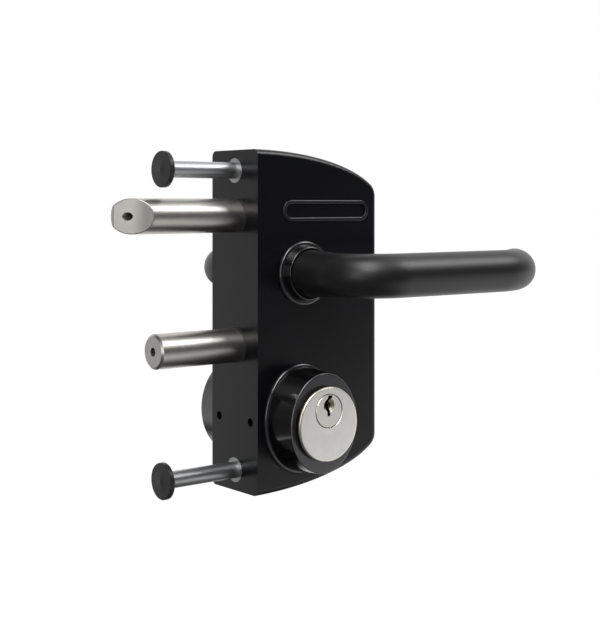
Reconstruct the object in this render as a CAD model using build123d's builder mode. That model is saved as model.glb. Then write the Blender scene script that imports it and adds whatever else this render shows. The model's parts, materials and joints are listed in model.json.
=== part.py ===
from build123d import *
from math import cos, pi, radians, sin, sqrt
import os

# A surface-mounted gate lock that clamps a square gate tube: a slim cast case, a lever and a keyed
# cylinder on each side, and a latch bolt and a dead bolt that reach out through the tube.
# The origin is the middle of the face that meets the tube. +X runs from the tube into the case,
# -Y is the front and +Z is up. Every size is in millimetres.

# Clearances
fit_gap = 0.05  # pressed, screwed or threaded pieces, at the radius
running_gap = 0.08  # shafts that turn or slide in a bush, at the radius
free_gap = 0.3  # moving pieces that only pass each other

# Gate tube that the lock clamps, which isn't part of it
tube_width = 40.0

# Distances down the case, which add up to its height
top_to_latch = 32.0
latch_to_lever = 28.2
lever_to_dead = 35.0
dead_to_cylinder = 36.0
cylinder_to_bottom = 34.8

# Case
case_depth = 38.0
crown_overrun = 3.5  # how far the ellipse that rounds the top and the bottom reaches past the case
crown_rise = 26.5  # half-height of the same ellipse
corner_radius = 8.0
edge_radius = 3.0  # round the faces, except along the gate tube
wall = 3.0
mounting_wall = 4.0
face_wall = 3.5
lip_height = 2.0
lip_width = 1.6

# Raised frame of the name place, left bare
frame_side_inset = 6.6  # from the case's far side
frame_above_latch = 2.4
frame_width = 54.7
frame_height = 10.4
frame_rim = 1.9
frame_rise = 0.7
frame_floor_depth = 0.4
frame_round = 0.6

# Case screws, from the rear
case_screw_radius = 2.0
case_screw_head_radius = 4.0
case_screw_head_height = 2.0
case_screw_column_radius = 4.5
case_screw_joint_y = 10.5
case_screw_hex = 2.5
case_screw_bottom = 1.5  # face left over the end of each screw
case_screw_end_x = 27.0  # the two at the top and the bottom
case_screw_end_inset = 11.5
case_screw_side_inset = 8.0  # the two at the far side
case_screw_side_z = 36.0
case_screw_near_x = 9.0  # the one between the latch and the lever
case_screw_near_rise = 8.6  # above the lever's axis

# Lever axis and its pieces
lever_x = 28.0
lever_spigot_radius = 8.0
bush_wall = 2.0
bush_flange_radius = 12.2
bush_flange = 1.5
bush_boss_radius = 13.0
rose_lip = 0.65  # width of the rose's front ring
rose_taper = 1.1  # how much wider its wall is at the foot
rose_flange_reach = 1.7
rose_flange = 1.7
rose_spigot_step = 0.4
rose_height = 5.9
rose_round = 1.0
lever_bar_radius = 10.55
lever_neck_end_y = 42.0
lever_bend_radius = 22.0
lever_return_radius = 30.5
lever_return_angle = 48.0
lever_end_straight = 2.5  # between the last bend and the rounded end
lever_reach = 149.4  # X of the front lever's far end
rear_lever_reach = 141.0
lever_splay = 1.75  # degrees that the grip leans away from the case
lever_end_round = 3.75
lever_spigot_end_y = 14.5
spindle_side = 8.0
spindle_end_y = 35.0
spindle_chamfer = 0.6
grub_radius = 2.5
grub_y = 30.0
grub_bottom = 10.1  # below the lever's axis
grub_hex = 2.5

# Follower on the spindle
follower_radius = 11.5
follower_half_width = 9.2
follower_side_gap = 0.8  # to the bush on either side
follower_core_half_width = 5.0
fork_inner_y = 6.2
fork_nose_radius = 3.5
fork_root_radius = 8.0
lever_swing = 45.0  # degrees
tail_left_x = 30.0
tail_width = 6.0
tail_drop = 21.4  # below the lever's axis
tail_pin_length = 3.0

# Bolts
bolt_radius = 8.3
bolt_edge_round = 0.4
latch_proud = 24.1  # beyond the gate tube
latch_straight = 11.0
latch_tip_flat = 2.15
latch_rear_x = 9.0
latch_key_hole_radius = 1.9
latch_key_hole_depth = 14.0
latch_key_hole_offset = 1.1  # from the bolt's axis towards the tip
dead_proud = 6.6
dead_chamfer = 1.0
dead_rear_x = 34.0
dead_hex = 4.0
dead_hex_depth = 5.0
dead_throw = 20.0
stem_radius = 4.0
guide_wall = 1.45
guide_length = 12.0
guide_flange = 1.5
guide_flange_radius = 11.5
guide_boss_radius = 11.5

# Latch carriage, which the fork pushes
latch_carriage_length = 12.85
latch_carriage_half_height = 7.0
latch_lug_half_width = 8.9
latch_lug_drop = 1.0  # below the latch axis
fork_clearance = 0.35  # takes up the fork's small lead over a steady ratio
stem_nib = 4.0  # length of a stem behind its carriage, and of the seat in a spring's end

# Dead bolt carriage and its talon
dead_carriage_x = 40.0
dead_carriage_length = 12.0
dead_carriage_half_width = 8.0
dead_carriage_half_height = 8.0
detent_bar_tail = 3.0  # beyond the far notch
detent_bar_end_gap = 6.4  # from there to the case's wall
detent_bar_height = 3.4
detent_bar_half_width = 3.0
notch_depth = 0.9
notch_half_width = 1.6

# Cylinders
cylinder_x = 26.0
cylinder_radius = 14.7
cylinder_head_radius = 17.9
cylinder_head_height = 3.2
cylinder_head_round = 1.0
cylinder_back_y = 6.0
plug_rise = 6.4  # plug axis above the cylinder's axis
plug_face_radius = 7.9
plug_face_height = 1.8
plug_radius = 6.5
plug_edge = 0.2  # chamfer round the plug's face, and round its seat
key_pit_radius = 3.4
key_pit_depth = 2.4
key_pit_rise = 2.6
keyway_depth = 24.0
keyway_line = [(0.65, 7.4), (0.55, 6.3), (-0.75, 5.0), (-0.75, 3.0), (-0.2, 0.6), (-0.1, -2.4)]
keyway_widths = [2.7, 2.6, 2.4, 2.3, 1.9, 1.8]
collar_height = 18.8
collar_flange = 1.6
collar_base_width = 45.0
collar_base_height = 53.7
collar_foot_width = 42.6
collar_foot_height = 51.0
collar_front_width = 40.3
collar_front_height = 47.9
collar_base_round = 1.2
collar_front_round = 0.6
cylinder_boss_radius = 18.0
cylinder_boss_end_y = 10.5
set_screw_radius = 2.0
set_screw_length = 6.0
set_screw_y = 13.0
set_screw_lug_half_height = 4.5
pin_radius = 1.45
pin_spacing = 4.0
pin_count = 5
first_pin_depth = 8.0  # behind the plug's face
key_pin_length = 3.6
driver_pin_length = 5.0
pin_chamber_depth = 10.0  # below the plug

# Cams
cam_thickness = 2.6
cam_nose_radius = 2.5
cam_reach = 13.5  # from the plug axis to the tip of the nose
cam_hub_radius = 6.5
cam_screw_radius = 1.0
cam_screw_offset = 3.6
cam_screw_head_radius = 1.8
cam_screw_head_height = 0.8
cam_screw_length = 4.0
talon_thickness = 3.0
talon_bite = 3.0  # how far the cam's nose reaches past the talon's lips
talon_lip = 3.0
talon_bridge = 3.2
talon_half_slot = 7.95

# Fixings
fixing_inset = 10.0  # from the case's top and bottom
fixing_radius = 4.0
fixing_reach = 14.0  # into the case
fixing_head_radius = 7.5
fixing_head_height = 1.4
fixing_hex = 5.0
fixing_hex_depth = 4.0
fixing_bush_radius = 6.0
fixing_bush_length = 18.0
fixing_boss_length = 20.0
fixing_boss_half_width = 9.0
fixing_boss_below = 7.5  # from the screw's axis towards the middle of the case
cap_radius = 8.65
cap_proud = 2.35
cap_round = 0.5
cap_dome = 0.4
cap_peg_length = 2.0

# Springs
return_spring_drop = 16.0  # below the lever's axis
return_spring_radius = 3.0
return_spring_wire = 1.0
return_spring_turns = 7
latch_spring_radius = 5.2
latch_spring_wire = 1.2
latch_spring_turns = 10
detent_strip = 0.5
detent_half_width = 2.5
detent_nose_x = 44.0
detent_arm = 14.0  # from the spring's nose to its screw
detent_post_half_length = 4.0
detent_post_rise = 5.6  # above the dead bolt's carriage
detent_post_height = 6.0
detent_screw_radius = 1.5

# Sizes that follow from the ones above
case_height = top_to_latch + latch_to_lever + lever_to_dead + dead_to_cylinder + cylinder_to_bottom
latch_z = case_height / 2 - top_to_latch
lever_z = latch_z - latch_to_lever
dead_z = lever_z - lever_to_dead
cylinder_z = dead_z - dead_to_cylinder
inner_right_x = detent_nose_x + dead_throw + detent_bar_tail + detent_bar_end_gap
case_width = inner_right_x + wall
crown_reach = case_width + crown_overrun
front_y = -case_depth / 2
cover_seat_y = front_y + face_wall
rear_inner_y = case_depth / 2 - face_wall
rear_root_y = rear_inner_y + face_wall / 2  # where the bosses start, inside the rear face
cover_root_y = -rear_root_y
crown_z = case_height / 2 - crown_rise
frame_x = case_width - frame_side_inset - frame_width / 2
frame_z = latch_z + frame_above_latch
fixing_z = case_height / 2 - fixing_inset
case_screw_end_z = case_height / 2 - case_screw_end_inset
case_screw_side_x = case_width - case_screw_side_inset
case_screw_points = [
    (case_screw_end_x, case_screw_end_z),
    (case_screw_end_x, -case_screw_end_z),
    (case_screw_side_x, case_screw_side_z),
    (case_screw_side_x, -case_screw_side_z),
    (case_screw_near_x, lever_z + case_screw_near_rise),
]
plug_z = cylinder_z + plug_rise
bush_radius = lever_spigot_radius + bush_wall
bush_end_y = follower_half_width + follower_side_gap
rose_bore_radius = bush_flange_radius + fit_gap
rose_front_radius = rose_bore_radius + rose_lip
rose_wall_radius = rose_front_radius + rose_taper
rose_spigot_radius = rose_wall_radius - rose_spigot_step
rose_radius = rose_wall_radius + rose_flange_reach
lever_neck_radius = bush_flange_radius - free_gap
lever_return_length = lever_end_round + lever_end_straight
half_socket = spindle_side / 2 + fit_gap
tail_bottom_z = lever_z - tail_drop
return_spring_z = lever_z - return_spring_drop
return_spring_seat_radius = return_spring_radius - return_spring_wire / 2 - free_gap
rose_floor_y = front_y + bush_flange
guide_radius = bolt_radius + guide_wall
guide_boss_end_x = guide_length - guide_flange
case_screw_bottom_y = front_y + case_screw_bottom
head_back_y = front_y - collar_height
cylinder_face_y = head_back_y - cylinder_head_height
swing_start = radians(lever_swing / 2)
fork_x = lever_x - latch_to_lever * sin(swing_start)
fork_z = lever_z + latch_to_lever * cos(swing_start)
latch_carriage_x = fork_x + fork_nose_radius + fork_clearance
latch_carriage_end_x = latch_carriage_x + latch_carriage_length
cam_front_y = -cylinder_back_y + fit_gap
cam_back_y = cam_front_y + cam_thickness
talon_lip_z = plug_z + cam_reach - talon_bite
talon_roof_z = plug_z + cam_reach + free_gap
talon_x = cylinder_x + dead_throw / 2
dead_carriage_top_z = dead_z + dead_carriage_half_height
detent_bar_end_x = detent_nose_x + dead_throw + detent_bar_tail
detent_post_x = detent_nose_x + detent_arm
detent_post_bottom_z = dead_carriage_top_z + detent_post_rise
cap_outer_x = -tube_width - cap_proud
cap_dome_radius = (cap_radius**2 + cap_dome**2) / (2 * cap_dome)
spring_seat_x = inner_right_x - stem_nib
pin_chamber_z = plug_z - plug_radius - pin_chamber_depth
keyway_left = [(x - width / 2, z) for (x, z), width in zip(keyway_line, keyway_widths)]
keyway_right = [(x + width / 2, z) for (x, z), width in zip(keyway_line, keyway_widths)]
keyway_outline = keyway_left + keyway_right[::-1]
keyway_foot = -keyway_line[-1][1]
cam_screw_x_values = (cylinder_x - cam_screw_offset, cylinder_x + cam_screw_offset)


def facing_front(y):
    """The upright plane at y that looks towards the front, with X to its right and Z up."""
    return Plane.XZ.offset(-y)


def turn_about_y(profile, x, z, mode=Mode.ADD):
    """Turn a closed profile of (radius, y) points about the line along Y through (x, z)."""
    with BuildSketch(Plane.XY.offset(z)) as section:
        with BuildLine():
            Polyline(*[(x + radius, y) for radius, y in profile], close=True)
        make_face()
    revolve(section.sketch, axis=Axis((x, 0, z), (0, 1, 0)), mode=mode)


def turn_about_x(profile, z, mode=Mode.ADD):
    """Turn a closed profile of (x, radius) points about the line along X at height z."""
    with BuildSketch(Plane.XZ) as section:
        with BuildLine():
            Polyline(*[(x, z + radius) for x, radius in profile], close=True)
        make_face()
    revolve(section.sketch, axis=Axis((0, 0, z), (1, 0, 0)), mode=mode)


def round_bar_y(x, z, radius, y_from, y_to, mode=Mode.ADD):
    """A round bar along Y, or a round hole where the mode subtracts it."""
    with BuildSketch(facing_front(y_to)) as section:
        with Locations((x, z)):
            Circle(radius)
    extrude(section.sketch, amount=y_to - y_from, mode=mode)


def round_bar_x(y, z, radius, x_from, x_to, mode=Mode.ADD):
    """A round bar along X, or a round hole where the mode subtracts it."""
    with BuildSketch(Plane.YZ.offset(x_from)) as section:
        with Locations((y, z)):
            Circle(radius)
    extrude(section.sketch, amount=x_to - x_from, mode=mode)


def round_bar_z(x, y, radius, z_from, z_to, mode=Mode.ADD):
    """A round bar along Z, or a round hole where the mode subtracts it."""
    with BuildSketch(Plane.XY.offset(z_from)) as section:
        with Locations((x, y)):
            Circle(radius)
    extrude(section.sketch, amount=z_to - z_from, mode=mode)


def hex_socket_x(y, z, across_flats, x_from, x_to, mode=Mode.SUBTRACT):
    """A hexagon along X: a socket, or a peg where the mode adds it."""
    with BuildSketch(Plane.YZ.offset(x_from)) as section:
        with Locations((y, z)):
            RegularPolygon(across_flats / 2, 6, major_radius=False)
    extrude(section.sketch, amount=x_to - x_from, mode=mode)


def block(x, y, z, mode=Mode.ADD):
    """A square-cornered block between two values of x, of y and of z."""
    with BuildSketch(facing_front(y[1])) as section:
        with Locations(((x[0] + x[1]) / 2, (z[0] + z[1]) / 2)):
            Rectangle(x[1] - x[0], z[1] - z[0])
    extrude(section.sketch, amount=y[1] - y[0], mode=mode)


def case_outline(plane, inset=0.0, left=0.0):
    """The case seen from the front: straight at the tube and at the far side, with elliptic ends."""
    width = case_width - inset - left
    with BuildSketch(plane) as outline:
        with Locations((0, crown_z), (0, -crown_z)):
            Ellipse(crown_reach - inset, crown_rise - inset)
        Rectangle(2 * (crown_reach - inset), 2 * crown_z)
        with Locations((left + width / 2, 0)):
            Rectangle(width, case_height, mode=Mode.INTERSECT)
        fillet(outline.vertices().group_by(Axis.X)[-1], corner_radius - inset)
    return outline.sketch


def rounded_face():
    """The case's outline, one face wall thick, in front of the middle plane, rounded but at the tube."""
    with BuildPart() as slab:
        extrude(case_outline(Plane.XZ), amount=face_wall)
        fillet(slab.faces().sort_by(Axis.Y)[0].edges().sort_by(Axis.X)[1:], edge_radius)
    return slab.part


def coil_path(radius, wire, turns, length):
    """A helix that rises along +Z, as quarter turns of two tangent arcs each."""
    pitch = (length - wire) / turns
    climb = pitch / (2 * pi)
    step = pi / 2
    arcs = []
    for quarter in range(4 * turns):
        ends = []
        for angle in (quarter * step, (quarter + 1) * step):
            place = Vector(radius * cos(angle), radius * sin(angle), wire / 2 + climb * angle)
            heading = Vector(-radius * sin(angle), radius * cos(angle), climb).normalized()
            ends.append((place, heading))
        (start, leave), (end, arrive) = ends
        chord = end - start
        spread = 2 * (1 - leave.dot(arrive))
        along = chord.dot(leave + arrive)
        reach = (sqrt(along**2 + spread * chord.dot(chord)) - along) / spread
        middle = (start + end + (leave - arrive) * reach) * 0.5
        arcs.append(Edge.make_tangent_arc(start, leave, middle))
        arcs.append(Edge.make_tangent_arc(middle, (middle - start) * 2 - leave * reach * 2, end))
    return arcs


def coil(radius, wire, turns, length):
    """A compression spring of one unbroken wire, standing on the origin and rising along +Z."""
    with BuildPart() as spring:
        with BuildLine() as path:
            add(coil_path(radius, wire, turns, length))
        with BuildSketch(Plane(origin=path.line @ 0, z_dir=path.line % 0)):
            Circle(wire / 2)
        sweep()
    return spring.part


def standing_on(x, z):
    """The place of a spring that rises along +X from (x, z)."""
    return Location(Plane(origin=(x, 0, z), x_dir=(0, 1, 0), z_dir=(1, 0, 0)))


def front_handle(reach):
    """A lever on the front, out to X = reach: a neck, a long round grip and an end bent in."""
    with BuildPart() as handle:
        neck_profile = [
            (0, -lever_spigot_end_y),
            (lever_spigot_radius, -lever_spigot_end_y),
            (lever_spigot_radius, front_y - free_gap),
            (lever_neck_radius, front_y - free_gap),
            (lever_bar_radius, -lever_neck_end_y),
            (0, -lever_neck_end_y),
        ]
        turn_about_y(neck_profile, lever_x, lever_z)
        splay = radians(lever_splay)
        return_heading = radians(lever_return_angle - lever_splay)
        bends_width = (
            lever_bend_radius * (1 - sin(splay))
            + lever_return_radius * (sin(splay) + sin(return_heading))
        )
        end_width = (
            lever_end_straight * cos(return_heading)
            + (lever_bar_radius - lever_end_round) * sin(return_heading)
            + lever_end_round
        )
        grip_length = (reach - lever_x - bends_width - end_width) / cos(splay)
        with BuildLine(Plane.XY.offset(lever_z)):
            neck_bend = JernArc((lever_x, -lever_neck_end_y), (0, -1), lever_bend_radius, 90 - lever_splay)
            grip = PolarLine(neck_bend @ 1, grip_length, direction=neck_bend % 1)
            return_bend = JernArc(grip @ 1, grip % 1, lever_return_radius, lever_return_angle)
            PolarLine(return_bend @ 1, lever_return_length, direction=return_bend % 1)
        with BuildSketch(Plane(origin=(lever_x, -lever_neck_end_y, lever_z), z_dir=(0, -1, 0))):
            Circle(lever_bar_radius)
        sweep()
        lever_end = handle.faces().filter_by(GeomType.PLANE).sort_by(Axis.X)[-1]
        fillet(lever_end.edges(), lever_end_round)
        block(
            (lever_x - half_socket, lever_x + half_socket),
            (-spindle_end_y - free_gap, -lever_spigot_end_y),
            (lever_z - half_socket, lever_z + half_socket),
            Mode.SUBTRACT,
        )
        round_bar_z(
            lever_x, -grub_y, grub_radius + fit_gap, lever_z - lever_neck_radius, lever_z, Mode.SUBTRACT
        )
    return handle.part


def write(part, label):
    """Label a finished piece and write it to its own file."""
    part.label = label
    export_step(part, f"parts/{label}.step")


def write_mirrored(part, label):
    """Write the same piece of the other side, mirrored across the middle plane of the case."""
    with BuildPart() as other_side:
        mirror(part, about=Plane.XZ)
    write(other_side.part, label)


os.makedirs("parts", exist_ok=True)

# Case: a cast tray with the mounting wall, the rear face and everything that carries the works
front_face = rounded_face()
rear_face = mirror(front_face, about=Plane.XZ)
with BuildPart() as case_body:
    with Locations((0, rear_inner_y, 0)):
        add(rear_face)
    extrude(case_outline(facing_front(rear_inner_y)), amount=rear_inner_y - cover_seat_y)
    inside = case_outline(facing_front(cover_seat_y), inset=wall, left=mounting_wall)
    extrude(inside, amount=cover_seat_y - rear_inner_y, mode=Mode.SUBTRACT)
    for side in (1, -1):
        block_ends = (fixing_z - fixing_boss_below, case_height / 2 - wall / 2)
        block(
            (mounting_wall / 2, fixing_boss_length),
            (-fixing_boss_half_width, fixing_boss_half_width),
            sorted(side * end for end in block_ends),
        )
    for x, z in case_screw_points:
        round_bar_y(x, z, case_screw_column_radius, -case_screw_joint_y, rear_root_y)
    round_bar_y(lever_x, lever_z, bush_boss_radius, bush_end_y, rear_root_y)
    round_bar_y(cylinder_x, cylinder_z, cylinder_boss_radius, cylinder_boss_end_y, rear_root_y)
    block(
        (mounting_wall / 2, cylinder_x - cylinder_radius),
        (cylinder_boss_end_y, rear_root_y),
        (cylinder_z - set_screw_lug_half_height, cylinder_z + set_screw_lug_half_height),
    )
    for z in (latch_z, dead_z):
        round_bar_x(0, z, guide_boss_radius, mounting_wall / 2, guide_boss_end_x)
    block(
        (detent_post_x - detent_post_half_length, detent_post_x + detent_post_half_length),
        (-detent_bar_half_width, rear_root_y),
        (detent_post_bottom_z, detent_post_bottom_z + detent_post_height),
    )
    round_bar_x(0, latch_z, stem_radius - free_gap, spring_seat_x, case_width - wall / 2)
    round_bar_x(
        0, return_spring_z, return_spring_seat_radius, mounting_wall / 2, mounting_wall + stem_nib
    )
    # Holes
    for z in (fixing_z, -fixing_z):
        round_bar_x(0, z, fixing_bush_radius + fit_gap, 0, fixing_boss_length, Mode.SUBTRACT)
    for z in (latch_z, dead_z):
        round_bar_x(0, z, guide_radius + fit_gap, 0, guide_boss_end_x, Mode.SUBTRACT)
    for y in (-set_screw_y, set_screw_y):
        round_bar_x(y, cylinder_z, set_screw_radius + fit_gap, 0, cylinder_x, Mode.SUBTRACT)
    for x, z in case_screw_points:
        sink = [
            (0, case_depth / 2),
            (case_screw_head_radius + fit_gap, case_depth / 2),
            (case_screw_radius + fit_gap, case_depth / 2 - case_screw_head_height),
            (case_screw_radius + fit_gap, -case_screw_joint_y),
            (0, -case_screw_joint_y),
        ]
        turn_about_y(sink, x, z, Mode.SUBTRACT)
    round_bar_y(lever_x, lever_z, bush_radius + fit_gap, 0, case_depth / 2, Mode.SUBTRACT)
    round_bar_y(lever_x, lever_z, rose_spigot_radius + fit_gap, -rose_floor_y, case_depth / 2, Mode.SUBTRACT)
    round_bar_y(cylinder_x, cylinder_z, cylinder_radius + fit_gap, 0, case_depth / 2, Mode.SUBTRACT)
    post_top_z = detent_post_bottom_z + detent_post_height
    round_bar_z(
        detent_post_x, 0, detent_screw_radius + fit_gap, detent_post_bottom_z, post_top_z, Mode.SUBTRACT
    )
write(case_body.part, "case_body")

# Front cover: the plate in the photo, with a lip inside the tray and bosses behind it
with BuildPart() as front_cover:
    with Locations((0, cover_seat_y, 0)):
        add(front_face)
    lip_gap = 3 * fit_gap
    lip_outer = case_outline(
        facing_front(cover_root_y), inset=wall + lip_gap, left=mounting_wall + lip_gap
    )
    lip_inner = case_outline(
        facing_front(cover_root_y),
        inset=wall + lip_gap + lip_width,
        left=mounting_wall + lip_gap + lip_width,
    )
    extrude(lip_outer - lip_inner, amount=cover_root_y - cover_seat_y - lip_height)
    for x, z in case_screw_points:
        round_bar_y(x, z, case_screw_column_radius, cover_root_y, -case_screw_joint_y - fit_gap)
    round_bar_y(lever_x, lever_z, bush_boss_radius, cover_root_y, -bush_end_y)
    round_bar_y(cylinder_x, cylinder_z, cylinder_boss_radius, cover_root_y, -cylinder_boss_end_y)
    block(
        (mounting_wall + lip_gap, cylinder_x - cylinder_radius),
        (cover_root_y, -cylinder_boss_end_y),
        (cylinder_z - set_screw_lug_half_height, cylinder_z + set_screw_lug_half_height),
    )
    # Raised frame, with its floor a little below the plate
    with BuildSketch(facing_front(front_y + frame_floor_depth)):
        with Locations((frame_x, frame_z)):
            SlotOverall(frame_width, frame_height)
    extrude(amount=frame_floor_depth + frame_rise)
    with BuildSketch(facing_front(front_y + frame_floor_depth)):
        with Locations((frame_x, frame_z)):
            SlotOverall(frame_width - 2 * frame_rim, frame_height - 2 * frame_rim)
    extrude(amount=frame_floor_depth + frame_rise, mode=Mode.SUBTRACT)
    fillet(front_cover.faces().sort_by(Axis.Y)[0].edges(), min(frame_round, 0.9 * frame_rise))
    # Holes
    for x, z in case_screw_points:
        round_bar_y(
            x, z, case_screw_radius + fit_gap, case_screw_bottom_y, -case_screw_joint_y, Mode.SUBTRACT
        )
    round_bar_y(lever_x, lever_z, bush_radius + fit_gap, front_y, 0, Mode.SUBTRACT)
    round_bar_y(lever_x, lever_z, rose_spigot_radius + fit_gap, front_y, rose_floor_y, Mode.SUBTRACT)
    round_bar_y(cylinder_x, cylinder_z, cylinder_radius + fit_gap, front_y, 0, Mode.SUBTRACT)
    round_bar_x(-set_screw_y, cylinder_z, set_screw_radius + fit_gap, 0, cylinder_x, Mode.SUBTRACT)
write(front_cover.part, "front_cover")

# Countersunk case screws, from the rear into the cover's bosses
with BuildPart() as case_screws:
    for x, z in case_screw_points:
        screw = [
            (0, case_depth / 2),
            (case_screw_head_radius, case_depth / 2),
            (case_screw_radius, case_depth / 2 - case_screw_head_height),
            (case_screw_radius, case_screw_bottom_y + fit_gap),
            (0, case_screw_bottom_y + fit_gap),
        ]
        turn_about_y(screw, x, z)
    with BuildSketch(facing_front(case_depth / 2)) as sockets:
        with Locations(*case_screw_points):
            RegularPolygon(case_screw_hex / 2, 6, major_radius=False)
    extrude(sockets.sketch, amount=case_screw_head_height, mode=Mode.SUBTRACT)
write(case_screws.part, "case_screws")

# Stepped rose round the lever's neck, with a spigot pressed into the face
with BuildPart() as front_rose:
    rose_profile = [
        (rose_bore_radius, rose_floor_y),
        (rose_spigot_radius, rose_floor_y),
        (rose_spigot_radius, front_y),
        (rose_radius, front_y),
        (rose_radius, front_y - rose_flange),
        (rose_wall_radius, front_y - rose_flange),
        (rose_front_radius, front_y - rose_height),
        (rose_bore_radius, front_y - rose_height),
    ]
    turn_about_y(rose_profile, lever_x, lever_z)
    flange_rim = front_rose.edges().filter_by(GeomType.CIRCLE).sort_by(SortBy.RADIUS)[-2:]
    fillet(flange_rim.sort_by(Axis.Y)[0], rose_round)
    front_rim = front_rose.edges().filter_by(GeomType.CIRCLE).group_by(Axis.Y)[0]
    fillet(front_rim.sort_by(SortBy.RADIUS)[-1], rose_round / 2)
write(front_rose.part, "front_rose")
write_mirrored(front_rose.part, "rear_rose")

# Flanged bush that carries the lever's spigot and the follower's journal
with BuildPart() as front_lever_bush:
    bush_profile = [
        (lever_spigot_radius + running_gap, front_y),
        (bush_flange_radius, front_y),
        (bush_flange_radius, rose_floor_y),
        (bush_radius, rose_floor_y),
        (bush_radius, -bush_end_y),
        (lever_spigot_radius + running_gap, -bush_end_y),
    ]
    turn_about_y(bush_profile, lever_x, lever_z)
write(front_lever_bush.part, "front_lever_bush")
write_mirrored(front_lever_bush.part, "rear_lever_bush")

# Levers, of which the rear one is shorter
write(front_handle(lever_reach), "front_lever")
write_mirrored(front_handle(rear_lever_reach), "rear_lever")

# Grub screws that hold the levers on the spindle, from below
with BuildPart() as lever_grub_screws:
    for y in (-grub_y, grub_y):
        round_bar_z(lever_x, y, grub_radius, lever_z - grub_bottom, lever_z - spindle_side / 2 - fit_gap)
    with BuildSketch(Plane.XY.offset(lever_z - grub_bottom)):
        with Locations((lever_x, -grub_y), (lever_x, grub_y)):
            RegularPolygon(grub_hex / 2, 6, major_radius=False)
    extrude(amount=grub_hex, mode=Mode.SUBTRACT)
write(lever_grub_screws.part, "lever_grub_screws")

# Square spindle through the follower, into both levers
with BuildPart() as handle_spindle:
    half_side = spindle_side / 2
    block(
        (lever_x - half_side, lever_x + half_side),
        (-spindle_end_y, spindle_end_y),
        (lever_z - half_side, lever_z + half_side),
    )
    spindle_ends = handle_spindle.faces().sort_by(Axis.Y)
    chamfer(spindle_ends[0].edges() + spindle_ends[-1].edges(), spindle_chamfer)
write(handle_spindle.part, "handle_spindle")

# Follower: a hub with a fork up to the latch carriage and a tail down to the return spring
with BuildPart() as follower:
    round_bar_y(lever_x, lever_z, follower_radius, -follower_half_width, follower_half_width)
    journal_end_y = lever_spigot_end_y - free_gap
    round_bar_y(lever_x, lever_z, lever_spigot_radius, -journal_end_y, journal_end_y)
    for y in (-fork_inner_y, follower_half_width):
        with BuildSketch(facing_front(y)) as fork_arm:
            with Locations((lever_x, lever_z)):
                Circle(fork_root_radius)
            with Locations((fork_x, fork_z)):
                Circle(fork_nose_radius)
            make_hull()
        extrude(fork_arm.sketch, amount=follower_half_width - fork_inner_y)
    block(
        (tail_left_x, tail_left_x + tail_width),
        (-follower_core_half_width, follower_core_half_width),
        (tail_bottom_z, lever_z),
    )
    pin_ends = (tail_left_x - tail_pin_length, tail_left_x + tail_width / 2)
    round_bar_x(0, return_spring_z, return_spring_seat_radius, *pin_ends)
    block(
        (lever_x - half_socket, lever_x + half_socket),
        (-journal_end_y, journal_end_y),
        (lever_z - half_socket, lever_z + half_socket),
        Mode.SUBTRACT,
    )
write(follower.part, "follower")

# Latch bolt: a round bar with one slanted face, an adjusting stem and a key hole in its end
with BuildPart() as latch_bolt:
    latch_tip_x = -tube_width - latch_proud
    latch_stem_end_x = latch_carriage_end_x + stem_nib
    bar_profile = [
        (latch_tip_x, 0),
        (latch_tip_x, bolt_radius),
        (latch_rear_x, bolt_radius),
        (latch_rear_x, stem_radius),
        (latch_stem_end_x, stem_radius),
        (latch_stem_end_x, 0),
    ]
    turn_about_x(bar_profile, latch_z)
    slant_start = Vector(-tube_width - latch_straight, -bolt_radius)
    slant_end = Vector(latch_tip_x, bolt_radius - latch_tip_flat)
    overrun = (slant_end - slant_start) * 0.2
    with BuildSketch(Plane.XY.offset(latch_z - bolt_radius)):
        with BuildLine():
            far_x = latch_tip_x - bolt_radius
            near = slant_start - overrun
            far = slant_end + overrun
            Polyline((near.X, near.Y), (far.X, far.Y), (far_x, far.Y), (far_x, near.Y), close=True)
        make_face()
    extrude(amount=2 * bolt_radius, mode=Mode.SUBTRACT)
    slanted = latch_bolt.faces().filter_by(GeomType.PLANE).sort_by(SortBy.AREA)[-1]
    fillet(slanted.edges(), bolt_edge_round)
    round_bar_x(
        latch_key_hole_offset,
        latch_z,
        latch_key_hole_radius,
        latch_tip_x - bolt_edge_round,
        latch_tip_x + latch_key_hole_depth,
        Mode.SUBTRACT,
    )
write(latch_bolt.part, "latch_bolt")

# Latch carriage: the block that the stem screws into, with lugs for the fork
with BuildPart() as latch_carriage:
    block(
        (latch_carriage_x, latch_carriage_end_x),
        (-fork_inner_y + free_gap, fork_inner_y - free_gap),
        (latch_z - latch_carriage_half_height, latch_z + latch_carriage_half_height),
    )
    block(
        (latch_carriage_x, latch_carriage_end_x),
        (-latch_lug_half_width, latch_lug_half_width),
        (latch_z - latch_lug_drop, latch_z + latch_carriage_half_height),
    )
    round_bar_x(0, latch_z, stem_radius + fit_gap, latch_carriage_x, latch_carriage_end_x, Mode.SUBTRACT)
write(latch_carriage.part, "latch_carriage")

# Flanged guide bushes in the mounting wall
for label, z in (("latch_guide", latch_z), ("dead_bolt_guide", dead_z)):
    with BuildPart() as guide:
        guide_profile = [
            (0, bolt_radius + running_gap),
            (0, guide_radius),
            (guide_boss_end_x, guide_radius),
            (guide_boss_end_x, guide_flange_radius),
            (guide_length, guide_flange_radius),
            (guide_length, bolt_radius + running_gap),
        ]
        turn_about_x(guide_profile, z)
    write(guide.part, label)

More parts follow.
